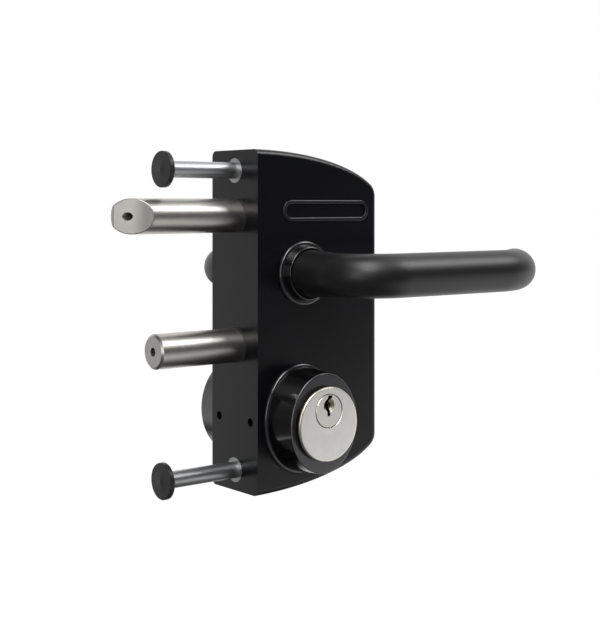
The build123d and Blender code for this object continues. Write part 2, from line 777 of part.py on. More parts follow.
# Dead bolt: a round bar with a chamfered end and a hexagon socket
with BuildPart() as dead_bolt:
    dead_tip_x = -tube_width - dead_proud
    dead_stem_end_x = dead_carriage_x + dead_carriage_length
    bar_profile = [
        (dead_tip_x, 0),
        (dead_tip_x, bolt_radius - dead_chamfer),
        (dead_tip_x + dead_chamfer, bolt_radius),
        (dead_rear_x, bolt_radius),
        (dead_rear_x, stem_radius),
        (dead_stem_end_x, stem_radius),
        (dead_stem_end_x, 0),
    ]
    turn_about_x(bar_profile, dead_z)
    hex_socket_x(0, dead_z, dead_hex, dead_tip_x, dead_tip_x + dead_hex_depth)
write(dead_bolt.part, "dead_bolt")

# Dead bolt carriage: the stem's block, a bar with two notches for the leaf spring, and the talon
with BuildPart() as dead_bolt_carriage:
    block(
        (dead_carriage_x, dead_stem_end_x),
        (-dead_carriage_half_width, dead_carriage_half_width),
        (dead_z - dead_carriage_half_height, dead_carriage_top_z),
    )
    block(
        (dead_carriage_x, detent_bar_end_x),
        (-detent_bar_half_width, detent_bar_half_width),
        (dead_carriage_top_z - detent_bar_height, dead_carriage_top_z),
    )
    with BuildSketch(facing_front(dead_carriage_half_width)) as notches:
        for x in (detent_nose_x, detent_nose_x + dead_throw):
            with BuildLine():
                Polyline(
                    (x - notch_half_width, dead_carriage_top_z),
                    (x, dead_carriage_top_z - notch_depth),
                    (x + notch_half_width, dead_carriage_top_z),
                    close=True,
                )
            make_face()
    extrude(notches.sketch, amount=2 * dead_carriage_half_width, mode=Mode.SUBTRACT)
    talon_y = (cam_front_y, cam_front_y + talon_thickness)
    talon_half_width = talon_half_slot + talon_lip
    block(
        (talon_x - talon_half_width, talon_x + talon_half_width),
        talon_y,
        (talon_lip_z, talon_roof_z + talon_bridge),
    )
    block(
        (talon_x - talon_half_slot, talon_x + talon_half_slot),
        talon_y,
        (talon_lip_z, talon_roof_z),
        Mode.SUBTRACT,
    )
    block((dead_carriage_x, talon_x + talon_half_width), talon_y, (talon_roof_z, dead_z))
    round_bar_x(0, dead_z, stem_radius + fit_gap, dead_carriage_x, dead_stem_end_x, Mode.SUBTRACT)
write(dead_bolt_carriage.part, "dead_bolt_carriage")

# Leaf spring that drops into a notch at either end of the dead bolt's throw, and its screw
with BuildPart() as detent_spring:
    strip_z = detent_post_bottom_z - detent_strip
    nose_z = dead_carriage_top_z - notch_depth + 2 * fit_gap
    shoulder_z = dead_carriage_top_z + 2 * fit_gap
    under = [
        (detent_post_x + detent_post_half_length, strip_z),
        (detent_post_x - detent_post_half_length, strip_z),
        (detent_nose_x + notch_half_width, shoulder_z),
        (detent_nose_x, nose_z),
        (detent_nose_x - notch_half_width, shoulder_z),
        (detent_nose_x - 2 * notch_half_width, shoulder_z + notch_depth),
    ]
    over = [(x, z + detent_strip) for x, z in reversed(under)]
    with BuildSketch(facing_front(detent_half_width)):
        with BuildLine():
            Polyline(*under, *over, close=True)
        make_face()
    extrude(amount=2 * detent_half_width)
    round_bar_z(detent_post_x, 0, detent_screw_radius + fit_gap, strip_z, detent_post_bottom_z, Mode.SUBTRACT)
write(detent_spring.part, "detent_spring")

with BuildPart() as detent_screw:
    round_bar_z(detent_post_x, 0, detent_screw_radius, strip_z, strip_z + detent_post_height)
    round_bar_z(detent_post_x, 0, detent_half_width, strip_z - detent_screw_radius, strip_z)
write(detent_screw.part, "detent_screw")

# Cylinder body, with the plug's bore, the keeper step for its face and the pin chambers
pin_y_values = [cylinder_face_y + first_pin_depth + step * pin_spacing for step in range(pin_count)]
with BuildPart() as front_cylinder:
    cylinder_profile = [
        (0, cylinder_face_y),
        (cylinder_head_radius, cylinder_face_y),
        (cylinder_head_radius, head_back_y),
        (cylinder_radius, head_back_y),
        (cylinder_radius, -cylinder_back_y),
        (0, -cylinder_back_y),
    ]
    turn_about_y(cylinder_profile, cylinder_x, cylinder_z)
    fillet(front_cylinder.faces().sort_by(Axis.Y)[0].edges(), cylinder_head_round)
    face_step_y = cylinder_face_y + plug_face_height + running_gap
    round_bar_y(cylinder_x, plug_z, plug_radius + running_gap, cylinder_face_y, 0, Mode.SUBTRACT)
    round_bar_y(
        cylinder_x, plug_z, plug_face_radius + free_gap, cylinder_face_y, face_step_y, Mode.SUBTRACT
    )
    seat_rim = front_cylinder.edges().filter_by(GeomType.CIRCLE).group_by(Axis.Y)[0]
    chamfer(seat_rim.sort_by(SortBy.RADIUS)[0], plug_edge)
    for y in pin_y_values:
        round_bar_z(cylinder_x, y, pin_radius + fit_gap, pin_chamber_z, plug_z, Mode.SUBTRACT)
write(front_cylinder.part, "front_cylinder")
write_mirrored(front_cylinder.part, "rear_cylinder")

# Plug, with the crooked keyway and the pit that guides the key
with BuildPart() as front_plug:
    plug_profile = [
        (0, cylinder_face_y),
        (plug_face_radius - plug_edge, cylinder_face_y),
        (plug_face_radius, cylinder_face_y + plug_edge),
        (plug_face_radius, cylinder_face_y + plug_face_height),
        (plug_radius, cylinder_face_y + plug_face_height),
        (plug_radius, cam_front_y),
        (0, cam_front_y),
    ]
    turn_about_y(plug_profile, cylinder_x, plug_z)
    with BuildSketch(facing_front(cylinder_face_y + keyway_depth)):
        with Locations((cylinder_x, plug_z)):
            Polygon(*keyway_outline, align=None)
    extrude(amount=keyway_depth, mode=Mode.SUBTRACT)
    pit = [(0, cylinder_face_y), (key_pit_radius, cylinder_face_y), (0, cylinder_face_y + key_pit_depth)]
    turn_about_y(pit, cylinder_x, plug_z + key_pit_rise, Mode.SUBTRACT)
    for y in pin_y_values:
        round_bar_z(
            cylinder_x, y, pin_radius + fit_gap, plug_z - plug_radius, plug_z - keyway_foot, Mode.SUBTRACT
        )
    for x in cam_screw_x_values:
        round_bar_y(
            x, plug_z, cam_screw_radius + fit_gap, cam_back_y - cam_screw_length, cam_front_y, Mode.SUBTRACT
        )
write(front_plug.part, "front_plug")
write_mirrored(front_plug.part, "rear_plug")

# Pins: one row in the plug and one row below it in the body, parted at the plug's skin
with BuildPart() as front_key_pins:
    for y in pin_y_values:
        pin_foot_z = plug_z - plug_radius + 2 * fit_gap
        round_bar_z(cylinder_x, y, pin_radius, pin_foot_z, pin_foot_z + key_pin_length)
write(front_key_pins.part, "front_key_pins")
write_mirrored(front_key_pins.part, "rear_key_pins")

with BuildPart() as front_driver_pins:
    for y in pin_y_values:
        pin_top_z = plug_z - plug_radius - 2 * running_gap
        round_bar_z(cylinder_x, y, pin_radius, pin_top_z - driver_pin_length, pin_top_z)
write(front_driver_pins.part, "front_driver_pins")
write_mirrored(front_driver_pins.part, "rear_driver_pins")

# Cam on the plug's inner end, at rest pointing down, and its two screws
with BuildPart() as front_cam:
    with BuildSketch(facing_front(cam_back_y)):
        with Locations((cylinder_x, plug_z)):
            Circle(cam_hub_radius)
        with Locations((cylinder_x, plug_z - cam_reach + cam_nose_radius)):
            Circle(cam_nose_radius)
        make_hull()
    extrude(amount=cam_thickness)
    for x in cam_screw_x_values:
        round_bar_y(x, plug_z, cam_screw_radius + fit_gap, cam_front_y, cam_back_y, Mode.SUBTRACT)
write(front_cam.part, "front_cam")
write_mirrored(front_cam.part, "rear_cam")

with BuildPart() as front_cam_screws:
    for x in cam_screw_x_values:
        round_bar_y(x, plug_z, cam_screw_radius, cam_back_y - cam_screw_length + fit_gap, cam_back_y)
        round_bar_y(x, plug_z, cam_screw_head_radius, cam_back_y, cam_back_y + cam_screw_head_height)
write(front_cam_screws.part, "front_cam_screws")
write_mirrored(front_cam_screws.part, "rear_cam_screws")

# Oval collar under the cylinder's head
with BuildPart() as front_collar:
    with BuildSketch(facing_front(front_y)):
        with Locations((cylinder_x, cylinder_z)):
            Ellipse(collar_base_width / 2, collar_base_height / 2)
    extrude(amount=collar_flange)
    fillet(front_collar.faces().sort_by(Axis.Y)[0].edges(), collar_base_round)
    with BuildSketch(facing_front(front_y - collar_flange / 2)) as foot:
        with Locations((cylinder_x, cylinder_z)):
            Ellipse(collar_foot_width / 2, collar_foot_height / 2)
    with BuildSketch(facing_front(head_back_y)) as front:
        with Locations((cylinder_x, cylinder_z)):
            Ellipse(collar_front_width / 2, collar_front_height / 2)
    loft([foot.sketch.face(), front.sketch.face()])
    fillet(front_collar.faces().sort_by(Axis.Y)[0].edges(), collar_front_round)
    round_bar_y(cylinder_x, cylinder_z, cylinder_radius + fit_gap, head_back_y, front_y, Mode.SUBTRACT)
write(front_collar.part, "front_collar")
write_mirrored(front_collar.part, "rear_collar")

# Set screws that hold the cylinders, from the mounting side
with BuildPart() as cylinder_set_screws:
    set_screw_end_x = cylinder_x - cylinder_radius - fit_gap
    for y in (-set_screw_y, set_screw_y):
        round_bar_x(y, cylinder_z, set_screw_radius, set_screw_end_x - set_screw_length, set_screw_end_x)
        hex_socket_x(
            y,
            cylinder_z,
            set_screw_radius,
            set_screw_end_x - set_screw_length,
            set_screw_end_x - set_screw_length / 2,
        )
write(cylinder_set_screws.part, "cylinder_set_screws")

# Fixings through the gate tube: threaded bushes in the case, screws and press-in caps
fixing_z_values = (-fixing_z, fixing_z)
fixing_head_x = -tube_width - fixing_head_height
with BuildPart() as fixing_bushes:
    for z in fixing_z_values:
        round_bar_x(0, z, fixing_bush_radius, 0, fixing_bush_length)
        round_bar_x(0, z, fixing_radius + fit_gap, 0, fixing_bush_length, Mode.SUBTRACT)
write(fixing_bushes.part, "fixing_bushes")

with BuildPart() as fixing_screws:
    for z in fixing_z_values:
        round_bar_x(0, z, fixing_radius, -tube_width, fixing_reach)
        round_bar_x(0, z, fixing_head_radius, fixing_head_x, -tube_width)
        hex_socket_x(0, z, fixing_hex, fixing_head_x, fixing_head_x + fixing_hex_depth)
write(fixing_screws.part, "fixing_screws")

with BuildPart() as fixing_caps:
    for z in fixing_z_values:
        with BuildSketch(Plane.XZ) as half_cap:
            with BuildLine():
                Polyline((cap_outer_x - cap_dome, z), (-tube_width, z), (-tube_width, z + cap_radius))
                Line((-tube_width, z + cap_radius), (cap_outer_x, z + cap_radius))
                RadiusArc((cap_outer_x, z + cap_radius), (cap_outer_x - cap_dome, z), cap_dome_radius)
            make_face()
        revolve(half_cap.sketch, axis=Axis((0, 0, z), (1, 0, 0)))
    cap_circles = fixing_caps.edges().filter_by(GeomType.CIRCLE).group_by(SortBy.RADIUS)[0]
    fillet(cap_circles.group_by(Axis.X)[0], cap_round)
    for z in fixing_z_values:
        round_bar_x(
            0, z, fixing_head_radius + fit_gap, fixing_head_x - fit_gap, -tube_width, Mode.SUBTRACT
        )
        hex_socket_x(
            0,
            z,
            fixing_hex - 2 * fit_gap,
            fixing_head_x - fit_gap,
            fixing_head_x + cap_peg_length,
            Mode.ADD,
        )
write(fixing_caps.part, "fixing_caps")

# Springs inside the case
return_length = tail_left_x - mounting_wall
return_spring = coil(return_spring_radius, return_spring_wire, return_spring_turns, return_length)
write(standing_on(mounting_wall, return_spring_z) * return_spring, "lever_return_spring")

latch_length = inner_right_x - latch_carriage_end_x
latch_spring = coil(latch_spring_radius, latch_spring_wire, latch_spring_turns, latch_length)
write(standing_on(latch_carriage_end_x, latch_z) * latch_spring, "latch_spring")
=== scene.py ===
# %% [markdown]
# # A gate lock, dressed for its portrait
#
# The lock's slim black case carries a lever and a keyed cylinder on each face. Two round bolts and
# two capped screws reach out of its flat side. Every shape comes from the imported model, which loads
# as a frame that nothing here moves. The scene adds the camera, the light and the finishes, with the
# fine grain that a cast or machined surface shows up close.

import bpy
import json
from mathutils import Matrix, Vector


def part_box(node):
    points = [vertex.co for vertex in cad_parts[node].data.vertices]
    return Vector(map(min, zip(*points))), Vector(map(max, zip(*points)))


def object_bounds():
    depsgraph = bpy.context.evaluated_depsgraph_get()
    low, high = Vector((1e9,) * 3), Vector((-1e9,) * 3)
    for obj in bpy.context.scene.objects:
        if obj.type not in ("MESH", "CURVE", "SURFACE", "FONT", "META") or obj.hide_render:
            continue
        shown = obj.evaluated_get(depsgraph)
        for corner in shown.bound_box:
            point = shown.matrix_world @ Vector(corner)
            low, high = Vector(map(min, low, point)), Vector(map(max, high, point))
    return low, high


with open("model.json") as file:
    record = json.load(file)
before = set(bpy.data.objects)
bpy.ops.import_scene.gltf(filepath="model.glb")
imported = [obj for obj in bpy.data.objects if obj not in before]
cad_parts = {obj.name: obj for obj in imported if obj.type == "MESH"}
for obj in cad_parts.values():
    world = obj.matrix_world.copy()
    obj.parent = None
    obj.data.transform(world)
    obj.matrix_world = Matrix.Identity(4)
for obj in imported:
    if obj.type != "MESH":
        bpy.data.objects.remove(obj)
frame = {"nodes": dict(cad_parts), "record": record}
nodes = frame["nodes"]
cad_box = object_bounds()

# %% [markdown]
# ## Camera
#
# The photograph was taken level with the upper third of the case, from the front and the left. The
# lens is long and its picture is shifted down, as a product photographer does to keep the uprights
# parallel. A tilted camera would frame the lock too, but its uprights would lean together, so the
# camera stays level and uses the same shift.

# %% Camera
import bpy
from math import cos, pi, radians, sin
from mathutils import Matrix, Vector

picture_height = 617  # pixels, the picture's longer side
sensor = 36.0  # millimetres, along the same side
focal_pixels = 1260.3
horizon_pixels = 202.3  # below the picture's top edge
camera_spot = (-0.3581, -0.5012, 0.0575)
camera_yaw = radians(38.52)

camera = bpy.data.objects.new("camera", bpy.data.cameras.new("camera"))
camera.location = camera_spot
camera.rotation_euler = (pi / 2, 0, -camera_yaw)
camera.data.sensor_width = sensor
camera.data.lens = focal_pixels * sensor / picture_height
camera.data.shift_y = (horizon_pixels - picture_height / 2) / picture_height
bpy.context.collection.objects.link(camera)
bpy.context.scene.camera = camera
bpy.context.scene.view_settings.view_transform = "Standard"
print(f"lens {camera.data.lens:.1f} mm, shift {camera.data.shift_y:.3f}")

# %% [markdown]
# ## Shader maths as Python
#
# A finish can be drawn as a chain of nodes in the editor, but sums get lost among its links. They
# are easier to read as `mask * 0.4 + 0.2`. So `Wire` holds one output socket of a node tree and turns
# Python's operators into Math nodes, with their reflected forms, so that `1 - mask` works as well.


# %% Wires
def feed(slot, value):
    """Link a wire to an input socket, or set a plain value on it."""
    if isinstance(value, Wire):
        value.tree.links.new(value.socket, slot)
    else:
        slot.default_value = value


class Wire:
    """One output socket of a node tree, on which sums can be written."""

    def __init__(self, tree, socket):
        self.tree = tree
        self.socket = socket

    def maths(self, operation, *values):
        """A Math node whose inputs are wires or numbers."""
        node = self.tree.nodes.new("ShaderNodeMath")
        node.operation = operation
        for slot, value in zip(node.inputs, values):
            feed(slot, value)
        return Wire(self.tree, node.outputs[0])

    def __add__(self, other):
        return self.maths("ADD", self, other)

    def __sub__(self, other):
        return self.maths("SUBTRACT", self, other)

    def __rsub__(self, other):
        return self.maths("SUBTRACT", other, self)

    def __mul__(self, other):
        return self.maths("MULTIPLY", self, other)

    def __pow__(self, other):
        return self.maths("POWER", self, other)

    def __abs__(self):
        return self.maths("ABSOLUTE", self)

    def __lt__(self, other):
        return self.maths("LESS_THAN", self, other)

    def __gt__(self, other):
        return self.maths("GREATER_THAN", self, other)

    def at_least(self, other):
        return self.maths("MAXIMUM", self, other)

    def around(self, middle, swing):
        """A wire from 0 to 1, moved to lie round the middle and swing so far to either side."""
        return self * (2 * swing) + (middle - swing)

    __radd__ = __add__
    __rmul__ = __mul__


def hypotenuse(first, second):
    """How far a point is from a middle, from its two offsets."""
    return (first * first + second * second) ** 0.5


print("wires are ready for sums")

# %% [markdown]
# ## Node trees and finishes
#
# Everything but a Math node comes from one method, `node`: it makes the node, sets its settings and
# then feeds its inputs, because some settings change which inputs there are. `Finish` starts a
# material. What is the same all over goes straight on its Principled shader's sockets, and only what
# changes over the surface becomes nodes, which keeps the material quick and easy to export.


# %% Node trees
def place_stops(ramp, stops):
    """Stops of (place, colour) or (place, grey) on a colour ramp, with a smooth run between them."""
    ramp.interpolation = "EASE"
    while len(ramp.elements) < len(stops):
        ramp.elements.new(0.5)
    for element, (place, colour) in zip(ramp.elements, stops):
        element.position = place
        element.color = (*colour, 1) if isinstance(colour, tuple) else (colour, colour, colour, 1)


class Nodes:
    """A node tree and the one method that adds a node to it."""

    def __init__(self, tree):
        self.tree = tree

    def node(self, kind, settings=(), in_order=(), output=0, **inputs):
        """Inputs that share a name are given in order, and others by name; gives one output."""
        node = self.tree.nodes.new("ShaderNode" + kind)
        for name, value in dict(settings).items():
            if name == "stops":
                place_stops(node.color_ramp, value)
            else:
                setattr(node, name, value)
        for slot, value in zip(node.inputs, in_order):
            feed(slot, value)
        for name, value in inputs.items():
            feed(node.inputs[name.replace("_", " ")], value)
        return Wire(self.tree, node.outputs[output])

    def ramp(self, wire, *stops):
        return self.node("ValToRGB", {"stops": stops}, Fac=wire)

    def rise(self, wire, start, end):
        """From 0 where the wire is at the start to 1 where it is at the end, smoothly."""
        settings = {"interpolation_type": "SMOOTHSTEP"}
        return self.node("MapRange", settings, Value=wire, From_Min=start, From_Max=end)

    def axes(self, vector):
        """The wires of a vector's X, Y and Z."""
        split = self.node("SeparateXYZ", Vector=vector)
        return [Wire(self.tree, socket) for socket in split.socket.node.outputs]


print("node trees are ready to grow")


# %% Finishes
class Finish(Nodes):
    """A material with its Principled shader; plain values are set on the shader's own sockets."""

    def __init__(self, name, **sockets):
        self.material = bpy.data.materials.new(name)
        self.material.use_nodes = True
        super().__init__(self.material.node_tree)
        self.shader = self.tree.nodes["Principled BSDF"]
        self.place = self.node("TexCoord", output="Object")
        self.set(**sockets)

    def set(self, **sockets):
        for name, value in sockets.items():
            feed(self.shader.inputs[name.replace("_", " ")], value)

    def noise(self, scale, stretch=(1, 1, 1), detail=2.0, roughness=0.5):
        """A grain of about 1/scale metres, stretched along an axis by a factor under 1."""
        spot = self.node("Mapping", Vector=self.place, Scale=stretch)
        return self.node("TexNoise", Vector=spot, Scale=scale, Detail=detail, Roughness=roughness)

    def relief(self, height, depth, strength):
        """Bump of a height wire that stands for so many metres."""
        bump = self.node("Bump", output="Normal", Height=height, Distance=depth, Strength=strength)
        self.set(Normal=bump)


print("finishes are ready to be mixed")

# %% [markdown]
# ## Floor
#
# A catalogue picture of a black object: the background is white, yet the upper plate reflects almost
# none of it, because the studio behind the camera is dark. Strong lamps would turn a pale floor
# white, but they would bleach the lock too. So the floor is a sheet of paper that glows: everywhere
# for the camera, and for mirrors in three places only. The floor itself is one square face.

# %% Floor
import bmesh

floor_z = -0.30
floor_half_width = 6.0
shape = bmesh.new()
lowered = Matrix.Translation((0, 0, floor_z))
bmesh.ops.create_grid(shape, x_segments=1, y_segments=1, size=floor_half_width, matrix=lowered)
floor_mesh = bpy.data.meshes.new("floor")
shape.to_mesh(floor_mesh)
shape.free()
floor = bpy.data.objects.new("floor", floor_mesh)
bpy.context.collection.objects.link(floor)
print(len(floor_mesh.polygons), "face of floor,", 2 * floor_half_width, "m wide")

# %% [markdown]
# ## Paper
#
# Light Path tells the camera's rays from those that come off a glossy surface or through a clear one.
# To these the paper is white behind the lock and on its right, and dimly so on its far left. In front
# of the lock and right under it, it runs off into the dark, which gives the plate its slow change
# from black at the top to grey at the foot. The ends of the bolts and the case's flat side mirror the
# far left, which ends where the collar's flank would mirror it too, because the flank is black.


# %% Paper
def seen_directly(tree, in_a_mirror):
    """One where the camera looks, and the given share where a glossy or a transmission ray does."""
    names = "Is Camera Ray", "Is Glossy Ray", "Is Transmission Ray"
    camera_ray, glossy_ray, through_ray = (tree.node("LightPath", output=name) for name in names)
    return camera_ray + (glossy_ray + through_ray) * in_a_mirror


paper = Finish("floor", Roughness=0.9, Specular_IOR_Level=0.0)
turned = paper.node("VectorRotate", {"rotation_type": "Z_AXIS"}, Vector=paper.place, Angle=camera_yaw)
across, away, _ = paper.axes(turned)

# Each pair is a run from dark to white, in metres from the lock, away from the camera or to a side
behind_lock, beside_lock = (0.15, 0.35), (-0.4, -0.1)
right_depth, right_side = (-0.7, 0.1), (0.15, 0.5)
left_depth, left_side = (0.0, 0.09), (0.3, 0.7)
left_slant = 0.18  # how much further away the left part starts, for each metre to the left
left_white = 0.7  # how white the far left is in a mirror

far_paper = paper.rise(away, *behind_lock) * paper.rise(across, *beside_lock)
right_paper = paper.rise(away, *right_depth) * paper.rise(across, *right_side)
left_paper = paper.rise(away + across * left_slant, *left_depth) * paper.rise(0 - across, *left_side)
lit = far_paper.at_least(right_paper).at_least(left_paper * left_white)
print("the far left is", left_white, "of white in a mirror")

# %% [markdown]
# ## The paper's shader
#
# An emission alone would look even, but the lock would float, because nothing casts a shadow on a
# light. So a Mix Shader leaves a little plain paper under the glow, and the shadow falls on that.

# %% The paper's shader
paper_white = 1.08  # with the plain paper in the mix, the picture's floor comes out at 1
glow_share = 0.92  # the rest is plain paper
least_lit = 0.05  # of the glow, in the dark parts
paper_grey, dark_grey = 0.8, 0.05  # the plain paper's own colour, and in a mirror's dark parts

mirrored_dark = paper.node("LightPath", output="Is Glossy Ray") * (1 - lit)
paper.set(Base_Color=paper_grey - mirrored_dark * (paper_grey - dark_grey))
glow = paper.node("Emission", Color=(1, 1, 1, 1), Strength=paper_white)
plain_paper = Wire(paper.tree, paper.shader.outputs[0])
share = seen_directly(paper, lit * (1 - least_lit) + least_lit) * glow_share
mix = paper.node("MixShader", in_order=(share, plain_paper, glow))
feed(paper.tree.nodes["Material Output"].inputs["Surface"], mix)
floor_mesh.materials.append(paper.material)
print(f"{glow_share:.0%} of the paper glows for the camera")

# %% [markdown]
# ## World
#
# The room round the lock is dark behind the camera and grows bright behind the lock, and the black
# coats get their tones from its walls. An image of a studio could do this, but a ramp over the
# direction needs no file and is easy to tune. The camera sees white instead of the walls, and mirrors
# do so behind the lock and, dimly, on the far left, where the paper is white to them too. What light
# the world sends to dull surfaces comes from the walls alone.

# %% World
world = bpy.data.worlds.new("studio")
bpy.context.scene.world = world
world.use_nodes = True
sky = Nodes(world.node_tree)


def heading_along(direction):
    """How much a ray heads along a level direction, from -1 to 1."""
    ray = sky.node("TexCoord", output="Generated")
    return sky.node("VectorMath", {"operation": "DOT_PRODUCT"}, (ray, direction), "Value")


heading = heading_along((sin(camera_yaw), cos(camera_yaw), 0))  # the way the camera looks
leftward = heading_along((-cos(camera_yaw), sin(camera_yaw), 0))

dark_wall, side_wall, bright_wall = 0.04, 0.12, 1.0
stops = (0.0, dark_wall), (0.5, dark_wall), (0.62, side_wall), (1.0, bright_wall)
walls = sky.ramp(heading * 0.5 + 0.5, *stops)
print("walls from", dark_wall, "to", bright_wall)

# %% The backdrop
back_run = (0.35, 0.75)  # headings from walls to white
left_run, left_heading = (0.75, 0.93), (0.13, 0.24)  # both of the far left's runs
far_left = sky.rise(heading, *left_heading) * sky.rise(leftward, *left_run) * left_white
white_share = seen_directly(sky, sky.rise(heading, *back_run).at_least(far_left))
backdrop = sky.node("MixRGB", Fac=white_share, Color1=walls, Color2=(1, 1, 1, 1))
feed(world.node_tree.nodes["Background"].inputs["Color"], backdrop)
print(len(world.node_tree.nodes), "nodes in the world")

# %% [markdown]
# ## Lamps
#
# The photograph's soft highlights lie along the lever's top, down the case's left rounding and on the
# bolts. Small lamps would make them points, so four softboxes stand close to the lock: a wide one
# overhead, one on the right for the lever, a tall strip for the bolts and a weak one low on the left.

# %% Lamps
lock_centre = (Vector(cad_box[0]) + Vector(cad_box[1])) / 2


def softbox(name, direction, distance, size, power):
    """An area lamp that looks at the lock from a direction, with a size across and a size down."""
    lamp = bpy.data.objects.new(name, bpy.data.lights.new(name, "AREA"))
    lamp.data.shape = "RECTANGLE"
    lamp.data.size, lamp.data.size_y = size
    lamp.data.energy = power
    toward = Vector(direction).normalized()
    lamp.location = lock_centre + toward * distance
    lamp.rotation_euler = toward.to_track_quat("Z", "Y").to_euler()
    bpy.context.collection.objects.link(lamp)
    print(f"{name}: {power} W at {distance} m")


softbox("overhead", direction=(0.12, -0.45, 0.88), distance=1.0, size=(1.5, 0.9), power=3.3)
softbox("right", direction=(0.6, -0.45, 0.66), distance=1.0, size=(0.5, 0.4), power=3.4)
softbox("strip", direction=(-0.4, -0.48, 0.78), distance=0.9, size=(0.3, 0.8), power=5.5)
softbox("left", direction=(-0.84, -0.54, 0.15), distance=0.9, size=(0.3, 0.5), power=1.2)

# %% [markdown]
# ## Powder coat
#
# The case is cast aluminium under satin black powder coat. The powder melts into a fine orange peel,
# which is far too small to model, so a noise bump stands for it. Object coordinates are the lock's own
# frame in metres, so a pattern can find its place on a piece. The raised frame has round ends, so its
# rim is what lies at a set distance from a short line. Hands rub it smoother, and its colour is painted
# paler there as a highlight.

# %% Powder coat
orange_peel = 1400  # bumps to a metre
latch_low, latch_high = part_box("latch_bolt")
latch_z = (latch_low[2] + latch_high[2]) / 2
frame_x, frame_z = 0.04245, latch_z + 0.0024  # the raised frame's middle on the cover, as in the model
frame_width, frame_height, frame_rim = 0.0547, 0.0104, 0.0019
print(f"the raised frame is {frame_width * 1000:.1f} by {frame_height * 1000:.1f} mm")


def powder_coat(name):
    """Satin, with orange peel, smoother where the raised frame's rim is handled, and painted paler there
    as a highlight.
    """
    coat = Finish(name, Specular_IOR_Level=0.36)
    along, out, up = coat.axes(coat.place)
    past_x = (abs(along - frame_x) - (frame_width - frame_height) / 2).at_least(0)
    from_rim = hypotenuse(past_x, up - frame_z) - (frame_height - frame_rim) / 2
    rim = (abs(from_rim) < frame_rim / 2) * (out < 0)  # the frame is on the front face alone
    # The rim's paler colour is a painted highlight; its lower roughness is the coat's own.
    black, rim_highlight = (0.003, 0.0032, 0.0044), (0.016, 0.016, 0.019)
    coat.set(Base_Color=coat.ramp(rim, (0.0, black), (1.0, rim_highlight)), Roughness=0.25 - rim * 0.08)
    coat.relief(coat.noise(orange_peel, detail=3.0), depth=0.00002, strength=0.35)
    return coat


# %% [markdown]
# ## Gloss coat
#
# The rings round the lever's neck and the collar round the cylinder are smooth and gloss black, with
# painted highlights on their edges. A mask could be painted on each piece, but the rear has the same
# pieces, so one ramp over the distance from the plate does it for all four: a pale painted sheen at
# the height of the rings' lips, a bright painted highlight on the collar's front edge, and a pale
# painted sheen on the front.

# %% Gloss coat
polish = 900  # waves to a metre
plate_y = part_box("case_body")[1][1]
collar_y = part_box("rear_collar")[1][1]
print(f"the collar stands {(collar_y - plate_y) * 1000:.1f} mm proud")


def gloss_coat(name):
    """Polished, with painted highlights on the rings' lips and on the collar's front edge and front
    ring.
    """
    coat = Finish(name, Roughness=0.14, Specular_IOR_Level=1.0)
    _, out, _ = coat.axes(coat.place)
    proud = coat.node("MapRange", Value=abs(out), From_Min=plate_y, From_Max=collar_y)
    # Painted highlights: a pale sheen on the lips and front ring, and a bright line on the front edge.
    black, pale_sheen, edge_highlight = (0.0025, 0.0025, 0.003), (0.02, 0.019, 0.023), (0.1, 0.1, 0.105)
    lip = (0.03, black), (0.06, pale_sheen), (0.085, pale_sheen), (0.095, black)  # shares of the collar's height
    front = (0.965, black), (0.98, edge_highlight), (0.99, edge_highlight), (1.0, pale_sheen)
    coat.set(Base_Color=coat.ramp(proud, *lip, *front))
    coat.relief(coat.noise(polish), depth=0.00001, strength=0.15)
    return coat


# %% [markdown]
# ## Matte coat and moulded plastic
#
# The levers have a finer and duller coat than the case, and the caps and guides are moulded plastic
# with the fine texture of their mould. Both are even all over, so one colour and one roughness do,
# with a noise bump that is too fine to see as more than a dull sheen.

# %% Matte coat and moulded plastic
lever_grain, plastic_grain = 6000, 5000  # bumps to a metre
print(f"bumps every {1000 / lever_grain:.2f} mm on the levers, {1000 / plastic_grain:.2f} mm on plastic")


def matte_coat(name):
    coat = Finish(name, Base_Color=(0.007, 0.007, 0.0075, 1), Roughness=0.4, Specular_IOR_Level=0.55)
    coat.relief(coat.noise(lever_grain), depth=0.000012, strength=0.4)
    return coat


def black_plastic(name):
    plastic = Finish(name, Base_Color=(0.018, 0.018, 0.019, 1), Roughness=0.36, Specular_IOR_Level=0.35)
    plastic.relief(plastic.noise(plastic_grain), depth=0.00001, strength=0.2)
    return plastic


# %% [markdown]
# ## Turned steel
#
# Both bolts are stainless bar, turned in a lathe, which leaves fine rings on their ends and grooves
# round their sides. Anisotropy would stretch the highlights, but it wouldn't draw the rings. A noise
# over two numbers draws both: the place along the bolt, which changes on the sides, and the distance
# from the bolt's axis, which changes on the ends. The slant of the latch is ground, and painted shade
# darkens it towards its root.

# %% Turned steel
grooves, stains = 9000, 120  # to a metre
dead_low, dead_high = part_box("dead_bolt")
dead_z = (dead_low[2] + dead_high[2]) / 2
bolt_parting_z = (latch_z + dead_z) / 2  # what lies above it belongs to the latch
slant_root, slant_tip = Vector((-0.051, -0.0083)), Vector((latch_low[0], 0.00615))  # as in the model
slant_skin = 0.00006  # how near to the slant's plane a point counts as on it
# Where the painted shade on the latch's slant begins near the tip and is full near the root.
shade_start, shade_end = slant_tip.x + 0.005, slant_root.x - 0.002
print(f"the bolts lie {(latch_z - dead_z) * 1000:.1f} mm apart")


def mottled(metal, grain, colour, darkest):
    """The colour where the grain is high, and the darkest share of it where the grain is low."""
    dark = tuple(part * darkest for part in colour)
    return metal.ramp(grain, (0.3, dark), (0.7, colour))


